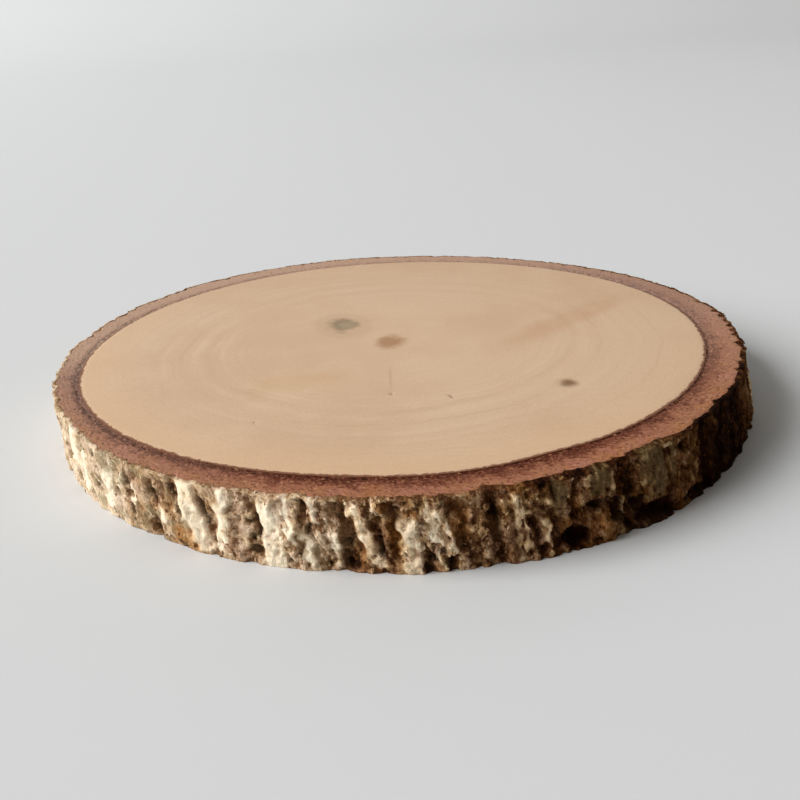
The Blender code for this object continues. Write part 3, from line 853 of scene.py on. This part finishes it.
def all_plates():
    """The front plates, and random ones round the rest of the bark."""
    draw = random.Random(PLATE_SEED)
    plates = [(*plate[:4], plate[4] * MM) for plate in PALE_PLATES]
    azimuth = PLATES_FROM
    while azimuth < PLATES_TO:
        base = azimuth + draw.uniform(*FURROW_SLANT)
        first = draw.uniform(*PLATE_START)
        last = first + draw.uniform(*PLATE_LENGTH)
        plates.append((azimuth, base, first, last, draw.uniform(*PLATE_HALF_WIDTH)))
        azimuth += draw.uniform(*PLATE_STEP)
    return plates


def stripe(angle, down, top, base, first, last, half_width):
    """1 along the middle of a slanting stripe on the bark, falling to 0 at its edges and ends."""
    across = arc_between(angle, top + (base - top) * down) / half_width
    ends = np.minimum(smooth((down - first) / 0.1 + 0.5), smooth((last - down) / 0.1 + 0.5))
    return held(1.0 - across * across) * ends


def flaked(x, y, z, across, along, tilt):
    """Cells like scales, `across` wide and `along` tall: the level of each with its tilt, and its number."""
    shift = 0.35 * across * lumps(x, y, z, 0.6 * across, 0.6 * across)
    spots = scaled(x + shift, y + shift, z + shift, across, along)
    levels = []
    tones = []
    for spot in spots.reshape(-1, 3).tolist():
        distances, points = noise.voronoi(spot)
        tone = noise.cell_vector(points[0] * 31.7)
        lean = (Vector(spot) - points[0]).dot(tone - Vector((0.5, 0.5, 0.5)))
        crack = max(0.0, 1.0 - (distances[1] - distances[0]) / 0.12)
        levels.append(tone.x - 0.5 + tilt * lean - 0.6 * crack)
        tones.append(tone.y)
    return np.array(levels).reshape(spots.shape[:-1]), np.array(tones).reshape(spots.shape[:-1])


def make_crust(angle, drop):
    """The fine relief of the bark in mm, and a number for each of its scales, from 0 to 1."""
    nearness = np.exp(-((np.degrees(angle) - GRAIN_LEAN_AT) / GRAIN_LEAN_SPREAD) ** 2)
    leaning = angle - GRAIN_LEAN * nearness * (drop - THICKNESS / 2) / BARK_RADIUS
    x = BARK_RADIUS * np.cos(leaning)
    y = BARK_RADIUS * np.sin(leaning)
    scales, tones = flaked(x, y, drop, 1.35 * MM, 2.3 * MM, 1.6)
    chips, _ = flaked(x, y, drop + 50 * MM, 0.62 * MM, 0.85 * MM, 1.2)
    ridges = 1.0 - 2.0 * abs(lumps(x, y, drop, 1.1 * MM, 2.6 * MM))
    rounded = lumps(x, y, drop + 20 * MM, 0.8 * MM, 1.1 * MM)
    pits = smooth((lumps(x, y, drop + 60 * MM, 0.8 * MM, 1.0 * MM) - 0.20) / 0.22)
    relief = 0.20 * scales + 0.13 * chips + 0.15 * (ridges - 0.5) + 0.12 * rounded - 0.24 * pits
    return relief, tones


def make_outer_bark():
    """A ring with the solid's furrowed wall, fine crust on it, and a crumbled lip on both faces."""
    angle = np.linspace(-math.pi, math.pi, BARK_SIDES, endpoint=False)[None, :]
    down = np.linspace(0.0, 1.0, WALL_ROWS)[:, None]
    drop = down * THICKNESS + 0.0 * angle
    radius, cut = bark_shape(angle, down + 0.0 * angle, FINE_WANDER)
    torn = angle + crooked(angle, drop, FINE_WANDER)
    plates = np.maximum.reduce([stripe(torn, down, *plate) for plate in all_plates()])
    torn_down = down + 0.06 * on_bark(angle, drop, 1.4, 1.2, salt=200)
    hollows = np.maximum.reduce([within(torn, torn_down, *hollow) for hollow in HOLLOWS])
    gnawed = on_bark(angle, drop, 0.7, 1.0, salt=240)
    hollows = held(hollows + 0.9 * gnawed * smooth(hollows / 0.5))
    relief, tones = make_crust(angle + 0.0 * down, drop)
    lichen_crust = np.maximum.reduce([within(torn, torn_down, *patch) for patch in LICHEN_PATCHES])
    lichen_crust = smooth(1.3 * lichen_crust + 0.7 * gnawed * smooth(3.0 * lichen_crust))
    relief = relief * by_azimuth(angle, CRUST_TREND)
    relief = relief * (1.0 - PLATE_CALM * plates) * (1.0 - LICHEN_CALM * lichen_crust)
    filled = np.maximum(PLATE_FILL * smooth(1.5 * plates), by_azimuth(angle, FILL_TREND))
    radius = radius + filled * np.maximum(cut, 0.0)
    kept = by_azimuth(angle, EDGE_TREND)
    at_faces = kept + (1.0 - kept) * smooth(np.minimum(down, 1.0 - down) / 0.08)
    deep = np.clip((1.0 - filled) * cut / MM, 0.0, 1.5)
    radius = radius + MM * at_faces * (relief * (1.0 + 0.4 * deep) + 0.15 * plates)
    # Painted shade: the flanks that face right, away from the light, are painted darker and browner.
    run = 2.0 * FLANK_COLUMNS * 2.0 * math.pi * BARK_RADIUS / BARK_SIDES
    falling = np.roll(radius, FLANK_COLUMNS, axis=1) - np.roll(radius, -FLANK_COLUMNS, axis=1)
    shaded_flanks = held(falling / run) * by_azimuth(angle, FLANK_SHADE_TREND)
    browned = (1.0 - smooth(1.6 * plates)) * by_azimuth(angle, BETWEEN_TREND)
    radius = radius - HOLLOW_DEPTH * smooth(1.4 * hollows) * smooth(np.minimum(down, 1.0 - down) / 0.12)
    chips = round_bark(angle, 1.3, salt=0.0)
    wide = lip(angle)
    chipped = CHIPPED_LEAST + CHIPPED_MORE * held(chips) + CHIPPED_OF_LIP * held(wide - WIDE_LIP_FROM)
    drop = drop + chipped * held(1.0 - down / 0.06)
    wall = place(radius * np.cos(angle), radius * np.sin(angle), drop)

    def ledge(around, depth):
        """One more loop, at a radius and a depth below the top."""
        return place(around * np.cos(angle), around * np.sin(angle), depth + 0.0 * angle)[0][None]

    top_edge, base_edge = radius[:1], radius[-1:]
    shoulder = []
    for share in SHOULDER:
        bumpy = abs(SHOULDER_BUMPS * (1.0 - share) * round_bark(angle, 0.5, salt=share))
        depth = SHOULDER_SUNK + (1.0 - share) ** 1.5 * chipped + bumpy
        shoulder.append(ledge(top_edge - share * wide, depth))
    loops = [
        ledge(BARK_BACK + 0.0 * top_edge, BACK_DROP),
        ledge(top_edge - wide - TOP_TUCK[0], TOP_TUCK[1]),
        *shoulder,
        wall,
        ledge(base_edge - BASE_LIP * 0.5, THICKNESS),
        ledge(base_edge - BASE_LIP * 2.0, THICKNESS - BASE_TUCK),
        ledge(BARK_BACK + 0.0 * base_edge, THICKNESS - BACK_DROP),
    ]

    def whole(values):
        """Values of the wall from 0 to 1, carried over the loops above it and below it."""
        values = held(values + 0.0 * radius)
        above = np.repeat(values[:1], LOOPS_ABOVE, 0)
        below = np.repeat(values[-1:], LOOPS_BELOW, 0)
        return np.concatenate([above, values, below])

    patchy = on_bark(angle, drop, 5.0, 6.0)
    bleached = smooth((BLEACHED_FROM - np.degrees(angle)) / BLEACHED_OVER)
    from_front = abs((np.degrees(angle) - FRONT_MIDDLE + 180.0) % 360.0 - 180.0)
    behind = smooth((from_front - RANDOM_FROM) / RANDOM_OVER)
    rust = 0.9 * held(on_bark(angle, drop, 4.0, 5.0, salt=80) - 0.25)
    lichen = 1.6 * behind * held(on_bark(angle, drop, 6.0, 5.0, salt=120) - 0.30)
    greyed = by_azimuth(angle, GREY_TREND)
    greyed = greyed * smooth(0.5 + 1.6 * on_bark(angle, drop, 2.4, 1.8, salt=280))
    # Painted shade: the bark at the far right is painted darker.
    painted_far_shade = by_azimuth(angle, FAR_RIGHT_SHADE_TREND)
    # The pale trend is partly painted light: lighter on the lit left and front, darker on the shaded right.
    pale = by_azimuth(angle, PALE_AND_LIGHT_TREND) + 0.14 * patchy + 0.17 * plates - 0.3 * painted_far_shade - 0.6 * browned
    # Deep furrows are painted darker: partly their own darker bark, partly painted shade.
    height = 0.5 + relief - 0.34 * deep + 0.38 * plates + 0.08 * bleached - painted_far_shade - shaded_flanks - browned
    marks = {
        "pale": whole(pale),
        "height": whole(height),
        "plates": whole(plates),
        "hollow": whole(smooth(1.2 * hollows)),
        "tone": whole(tones),
        "rust": whole(np.maximum.reduce([rust, *[within(torn, down, *patch) for patch in RUST_PATCHES]])),
        "lichen": whole(np.maximum.reduce([lichen, greyed, 0.8 * lichen_crust])),
    }
    crumbly = by_azimuth(angle, FLAKY_TREND)
    clustered = smooth(0.5 + 1.4 * on_bark(angle, drop, 2.2, 3.0, salt=160))
    on_wall = crumbly * (0.15 + 0.85 * clustered) + 0.30 * deep
    marks["flaking"] = whole(on_wall - 0.5 * plates - 0.7 * lichen_crust - 0.4 * hollows)
    marks["flaking"][:2] = 0.0
    marks["flaking"][-2 - LOOPS_BELOW:] = 0.0
    # Painted shade: the shoulder is painted darker toward the ring, in the step between the two.
    rough = round_bark(angle, 0.6, salt=12.0)
    for row, share in enumerate(SHOULDER, start=2):
        marks["height"][row] = held(marks["height"][row] - 0.25 * share + 0.4 * rough)
    # Painted shade along the rim: the top face and the wall's upper rows are painted darker, fading down the
    # wall.
    uneven = held(0.75 + 1.3 * round_bark(angle, 1.5, salt=15.0))
    uneven = uneven * (1.0 - plates[0]) * (1.0 - 0.8 * lichen_crust[0])
    darker = uneven * by_azimuth(angle, RIM_SHADE_TREND)
    for row in range(LOOPS_ABOVE + SHADE_ROWS):
        fading = darker * min(1.0, (LOOPS_ABOVE + SHADE_ROWS - row) / SHADE_ROWS)
        marks["pale"][row] = held(marks["pale"][row] - fading)
        marks["height"][row] = held(marks["height"][row] - fading)
        marks["flaking"][row] = marks["flaking"][row] * (1.0 - 2.0 * fading)
    return skin("outer_bark", np.concatenate(loops), marks)


def make_outer_bark_finish():
    """Weathered bark: cream or brown scales, dark furrows and pits, and rusty and grey-green patches."""
    material, tree, shader, coordinates = new_material("rough_bark")
    fibres = grain(tree, coordinates, 0.50, 2.2)
    dust = grain(tree, coordinates, 0.22)
    pale = sway(tree, mark(tree, "pale"), mark(tree, "tone"), 0.26)
    pale = sway(tree, pale, fibres, 0.40)

    def bleaching(*shades):
        """A colour from the brownest bark to the palest, through four shades."""
        return ramp(tree, pale, tuple(zip((0.0, 0.3, 0.6, 1.0), shades)))

    golden = bleaching((66, 36, 10), (118, 77, 37), (182, 143, 99), (235, 211, 176))
    reddish = bleaching((64, 31, 10), (112, 69, 39), (175, 136, 103), (232, 206, 178))
    crests = bleaching((128, 92, 46), (178, 143, 96), (247, 215, 170), (254, 239, 211))
    hollows = ramp(tree, pale, (
        (0.00, (18, 3, 0)),
        (0.30, (54, 21, 5)),
        (0.60, (98, 58, 28)),
        (0.85, (144, 108, 71)),
        (1.00, (176, 147, 112)),
    ))
    base = mix(tree, span(tree, grain(tree, coordinates, 3.0), 0.40, 0.60), golden, reddish)
    lichen = ramp(tree, pale, ((0.00, (102, 83, 46)), (1.00, (142, 127, 95))))
    base = stain(tree, base, lichen, mark(tree, "lichen"), dust, 0.75)
    height = sway(tree, mark(tree, "height"), dust, 0.54)
    height = sway(tree, height, fibres, 0.60)
    base = mix(tree, span(tree, height, 0.47, 0.80, 0.0, 0.90), base, crests)
    base = mix(tree, span(tree, height, 0.44, 0.12, 0.0, 0.88), base, hollows)
    rusty = sway(tree, pale, height, 0.6)
    rust = ramp(tree, rusty, ((0.00, (72, 36, 10)), (0.50, (154, 100, 48)), (1.00, (216, 170, 112))))
    base = stain(tree, base, rust, mark(tree, "rust"), grain(tree, coordinates, 1.5), 0.78)
    # Painted shade: the hollows are painted near black, partly their own dark bark, darkest where the bark is
    # brown.
    hollow_shade_colour = ramp(tree, pale, ((0.00, (12, 1, 0)), (0.50, (36, 15, 4)), (1.00, (128, 102, 74))))
    base = stain(tree, base, hollow_shade_colour, mark(tree, "hollow"), dust, 0.88)
    tree.links.new(base, shader.inputs["Base Color"])
    shader.inputs["Roughness"].default_value = 0.95
    shader.inputs["Specular IOR Level"].default_value = 0.06
    calmed = span(tree, mark(tree, "plates"), 0.0, 1.0, 1.0, 0.60)
    rough = calc(tree, "MULTIPLY", calc(tree, "MULTIPLY_ADD", dust, 0.6, fibres), calmed)
    roughen(tree, shader, rough, 0.36 * MM, 1.0)
    return material


outer_bark = make_outer_bark()
bark_finish = make_outer_bark_finish()
outer_bark.data.materials.append(bark_finish)
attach(outer_bark, "root")
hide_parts("wood_slice")

# The loose crust
# Chips and crumbs of dead bark that still cling to the plates and fill the furrows, each a quarter of a
# millimetre to a millimetre long. The saw cut them off level with both faces.
CHIP_SEED = 11
CHIP_KINDS = 3
CHIP_RAGGED = 0.45
CHIPS_EACH_MM2 = 3.0
CHIP_SMALLEST = (0.10 * MM, 0.14 * MM, 0.05 * MM)
CHIP_LARGEST = (0.32 * MM, 0.48 * MM, 0.15 * MM)
CHIP_TILT = 0.5
CHIP_LIFT = (-0.35, 0.30)


def rough_pebble(tree, seed, ragged):
    """A lumpy stone of twenty faces and about one metre in radius."""
    ball = add(tree, "GeometryNodeMeshIcoSphere", {"Radius": 1.0, "Subdivisions": 1}).outputs["Mesh"]
    noisy = add(tree, "ShaderNodeTexNoise", {"W": seed, "Scale": 0.9}, noise_dimensions="4D").outputs["Color"]
    centred = vector(tree, "SUBTRACT", noisy, (0.5, 0.5, 0.5))
    shift = add(tree, "ShaderNodeVectorMath", {0: centred, "Scale": ragged}, operation="SCALE").outputs[0]
    return add(tree, "GeometryNodeSetPosition", {"Geometry": ball, "Offset": shift}).outputs["Geometry"]


def make_crumb_tree():
    """Stones strewn over a mesh where its flaking mark says, lying along it and cut level with the faces."""
    tree = bpy.data.node_groups.new("strewn_crumbs", "GeometryNodeTree")
    sockets = {"Geometry": "Geometry", "Material": "Material", "Seed": "Int"}
    sockets.update({"Smallest": "Vector", "Largest": "Vector"})
    for label in ("Density", "Tilt", "Lowest Lift", "Highest Lift", "Ragged"):
        sockets[label] = "Float"
    for label, kind in sockets.items():
        tree.interface.new_socket(label, in_out="INPUT", socket_type="NodeSocket" + kind)
    tree.interface.new_socket("Geometry", in_out="OUTPUT", socket_type="NodeSocketGeometry")
    given = tree.nodes.new("NodeGroupInput").outputs
    end = tree.nodes.new("NodeGroupOutput")

    flaking = add(tree, "GeometryNodeInputNamedAttribute", {"Name": "flaking"}, data_type="FLOAT").outputs[0]
    density = calc(tree, "MULTIPLY", flaking, given["Density"])
    strewn = add(tree, "GeometryNodeDistributePointsOnFaces", {
        "Mesh": given["Geometry"], "Density": density, "Seed": given["Seed"],
    })

    def chance(kind, lowest, highest, salt):
        """A random value between two for each point."""
        seed = calc(tree, "ADD", given["Seed"], salt)
        order = ("FLOAT_VECTOR", "FLOAT", "INT").index(kind)
        inputs = {2 * order: lowest, 2 * order + 1: highest, "Seed": seed}
        return add(tree, "FunctionNodeRandomValue", inputs, data_type=kind).outputs[order]

    height = add(tree, "GeometryNodeInputNamedAttribute", {"Name": "height"}, data_type="FLOAT").outputs[0]
    lift = chance("FLOAT", given["Lowest Lift"], given["Highest Lift"], 3)
    points = add(tree, "GeometryNodeStoreNamedAttribute", {
        "Geometry": strewn.outputs["Points"], "Name": "height", "Value": calc(tree, "ADD", height, lift),
    }, data_type="FLOAT", domain="POINT").outputs[0]
    stones = add(tree, "GeometryNodeJoinGeometry")
    for kind in range(CHIP_KINDS):
        stone = rough_pebble(tree, 7.3 * kind, given["Ragged"])
        single = add(tree, "GeometryNodeGeometryToInstance", {"Geometry": stone}).outputs[0]
        tree.links.new(single, stones.inputs[0])
    negative = calc(tree, "MULTIPLY", given["Tilt"], -1.0)
    lowest = add(tree, "ShaderNodeCombineXYZ", {0: negative, 1: negative, 2: -0.6}).outputs[0]
    highest = add(tree, "ShaderNodeCombineXYZ", {0: given["Tilt"], 1: given["Tilt"], 2: 0.6}).outputs[0]
    tilted = chance("FLOAT_VECTOR", lowest, highest, 5)
    turn = add(tree, "FunctionNodeEulerToRotation", {0: tilted}).outputs[0]
    lying = add(tree, "FunctionNodeRotateRotation", {
        0: strewn.outputs["Rotation"], 1: turn,
    }, rotation_space="LOCAL").outputs[0]
    placed = add(tree, "GeometryNodeInstanceOnPoints", {
        "Points": points,
        "Instance": stones.outputs[0],
        "Pick Instance": True,
        "Instance Index": chance("INT", 0, CHIP_KINDS - 1, 7),
        "Rotation": lying,
        "Scale": chance("FLOAT_VECTOR", given["Smallest"], given["Largest"], 9),
    }).outputs[0]
    whole = add(tree, "GeometryNodeRealizeInstances", {"Geometry": placed}).outputs[0]
    spot = add(tree, "ShaderNodeSeparateXYZ", {0: add(tree, "GeometryNodeInputPosition").outputs[0]}).outputs
    level = add(tree, "ShaderNodeClamp", {0: spot[2], 1: 0.0, 2: THICKNESS}).outputs[0]
    flat = add(tree, "ShaderNodeCombineXYZ", {0: spot[0], 1: spot[1], 2: level}).outputs[0]
    sawn = add(tree, "GeometryNodeSetPosition", {"Geometry": whole, "Position": flat}).outputs[0]
    finished = add(tree, "GeometryNodeSetMaterial", {"Geometry": sawn, "Material": given["Material"]})
    tree.links.new(finished.outputs[0], end.inputs[0])
    return tree


crumb_tree = make_crumb_tree()


def strew(name, ground, material, **values):
    """A plain mesh of crumbs strewn over another piece, by values named like the tree's sockets."""
    values.update(material=material, ragged=CHIP_RAGGED)
    modifier = ground.modifiers.new("crumbs", "NODES")
    modifier.node_group = crumb_tree
    for socket in crumb_tree.interface.items_tree:
        label = socket.name.replace(" ", "_").lower()
        if socket.in_out == "INPUT" and label in values:
            modifier[socket.identifier] = values[label]
    evaluated = ground.evaluated_get(bpy.context.evaluated_depsgraph_get())
    mesh = bpy.data.meshes.new_from_object(evaluated)
    ground.modifiers.remove(modifier)
    mesh.name = name
    return new_object(name, mesh)


bark_chips = strew(
    "bark_chips", outer_bark, bark_finish, seed=CHIP_SEED, density=CHIPS_EACH_MM2 / MM ** 2, tilt=CHIP_TILT,
    smallest=CHIP_SMALLEST, largest=CHIP_LARGEST, lowest_lift=CHIP_LIFT[0], highest_lift=CHIP_LIFT[1],
)
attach(bark_chips, "root")
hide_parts("wood_slice")

# The crumbs along the wood's edge
# Torn bits of the soft layer between wood and bark, which the saw lifts and leaves sticking in the dark line.
# Each is a tenth of a millimetre to half a millimetre long.
CRUMB_SEED = 23
CRUMBS_EACH_MM2 = 5.0
CRUMB_SMALLEST = (0.05 * MM, 0.05 * MM, 0.03 * MM)
CRUMB_LARGEST = (0.14 * MM, 0.24 * MM, 0.08 * MM)
CRUMB_TILT = 0.6
CRUMB_LIFT = (-0.30, 0.08)

edge_crumbs = strew(
    "edge_crumbs", inner_bark, inner_finish, seed=CRUMB_SEED, density=CRUMBS_EACH_MM2 / MM ** 2,
    smallest=CRUMB_SMALLEST, largest=CRUMB_LARGEST, tilt=CRUMB_TILT, lowest_lift=CRUMB_LIFT[0],
    highest_lift=CRUMB_LIFT[1],
)
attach(edge_crumbs, "root")
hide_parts("wood_slice")

# The floor and the light
# A plain pale tabletop that curves up behind, under soft light from the left and above, with little from the
# right.
FLOOR_HALF_WIDTH = 2.0
FLOOR_FRONT = -1.2
FLOOR_BACK = 1.0
CURVE_RADIUS = 0.6
CURVE_STEP = 6
FLOOR_COLOUR = colour(208, 210, 210)
DIM_ROOM_COLOUR = (1.0, 0.87, 0.72, 1.0)
DIM_ROOM_STRENGTH = 0.12
BACKDROP_HEIGHT = 1.6
profile = [(FLOOR_FRONT, 0.0), (FLOOR_BACK, 0.0)]
for turn in range(CURVE_STEP, 90 + 1, CURVE_STEP):
    bend = math.radians(turn)
    profile.append((FLOOR_BACK + CURVE_RADIUS * math.sin(bend), CURVE_RADIUS * (1.0 - math.cos(bend))))
profile.append((FLOOR_BACK + CURVE_RADIUS, BACKDROP_HEIGHT))
sides = (-FLOOR_HALF_WIDTH, FLOOR_HALF_WIDTH)
floor_points = [(side, y, z) for y, z in profile for side in sides]
floor_faces = [(2 * row, 2 * row + 1, 2 * row + 3, 2 * row + 2) for row in range(len(profile) - 1)]
floor_mesh = bpy.data.meshes.new("floor")
floor_mesh.from_pydata(floor_points, [], floor_faces)
floor_mesh.polygons.foreach_set("use_smooth", [True] * len(floor_mesh.polygons))
floor = new_object("floor", floor_mesh)
floor_material, _, floor_shader, _ = new_material("pale_table")
floor_shader.inputs["Base Color"].default_value = FLOOR_COLOUR
floor_shader.inputs["Roughness"].default_value = 0.9
floor.data.materials.append(floor_material)


def soft_light(name, azimuth, elevation, distance, side, power, shade):
    """A square soft light that faces the slice."""
    data = bpy.data.lights.new(name, "AREA")
    data.size = side
    data.energy = power
    data.color = shade
    turn, lift = math.radians(azimuth), math.radians(elevation)
    light = new_object(name, data)
    light.location = (
        distance * math.cos(lift) * math.cos(turn),
        distance * math.cos(lift) * math.sin(turn),
        distance * math.sin(lift),
    )
    light.rotation_euler = (math.pi / 2 - lift, 0.0, turn + math.pi / 2)


soft_light("window", azimuth=-167, elevation=33, distance=4.0, side=2.7, power=250.0, shade=(0.99, 0.99, 1.0))
soft_light("ceiling", azimuth=110, elevation=75, distance=2.0, side=1.8, power=5.0, shade=(0.97, 0.98, 1.0))
world = bpy.data.worlds.new("room")
world.use_nodes = True
dim_room = world.node_tree.nodes["Background"]
dim_room.inputs["Color"].default_value = DIM_ROOM_COLOUR
dim_room.inputs["Strength"].default_value = DIM_ROOM_STRENGTH
pale_wall = add(world.node_tree, "ShaderNodeBackground", {"Color": FLOOR_COLOUR, "Strength": 1.0})
seen = add(world.node_tree, "ShaderNodeLightPath").outputs["Is Camera Ray"]
room = add(world.node_tree, "ShaderNodeMixShader", {0: seen, 1: dim_room.outputs[0], 2: pale_wall.outputs[0]})
world.node_tree.links.new(room.outputs[0], world.node_tree.nodes["World Output"].inputs["Surface"])
bpy.context.scene.world = world
bpy.context.scene.view_settings.view_transform = "Standard"
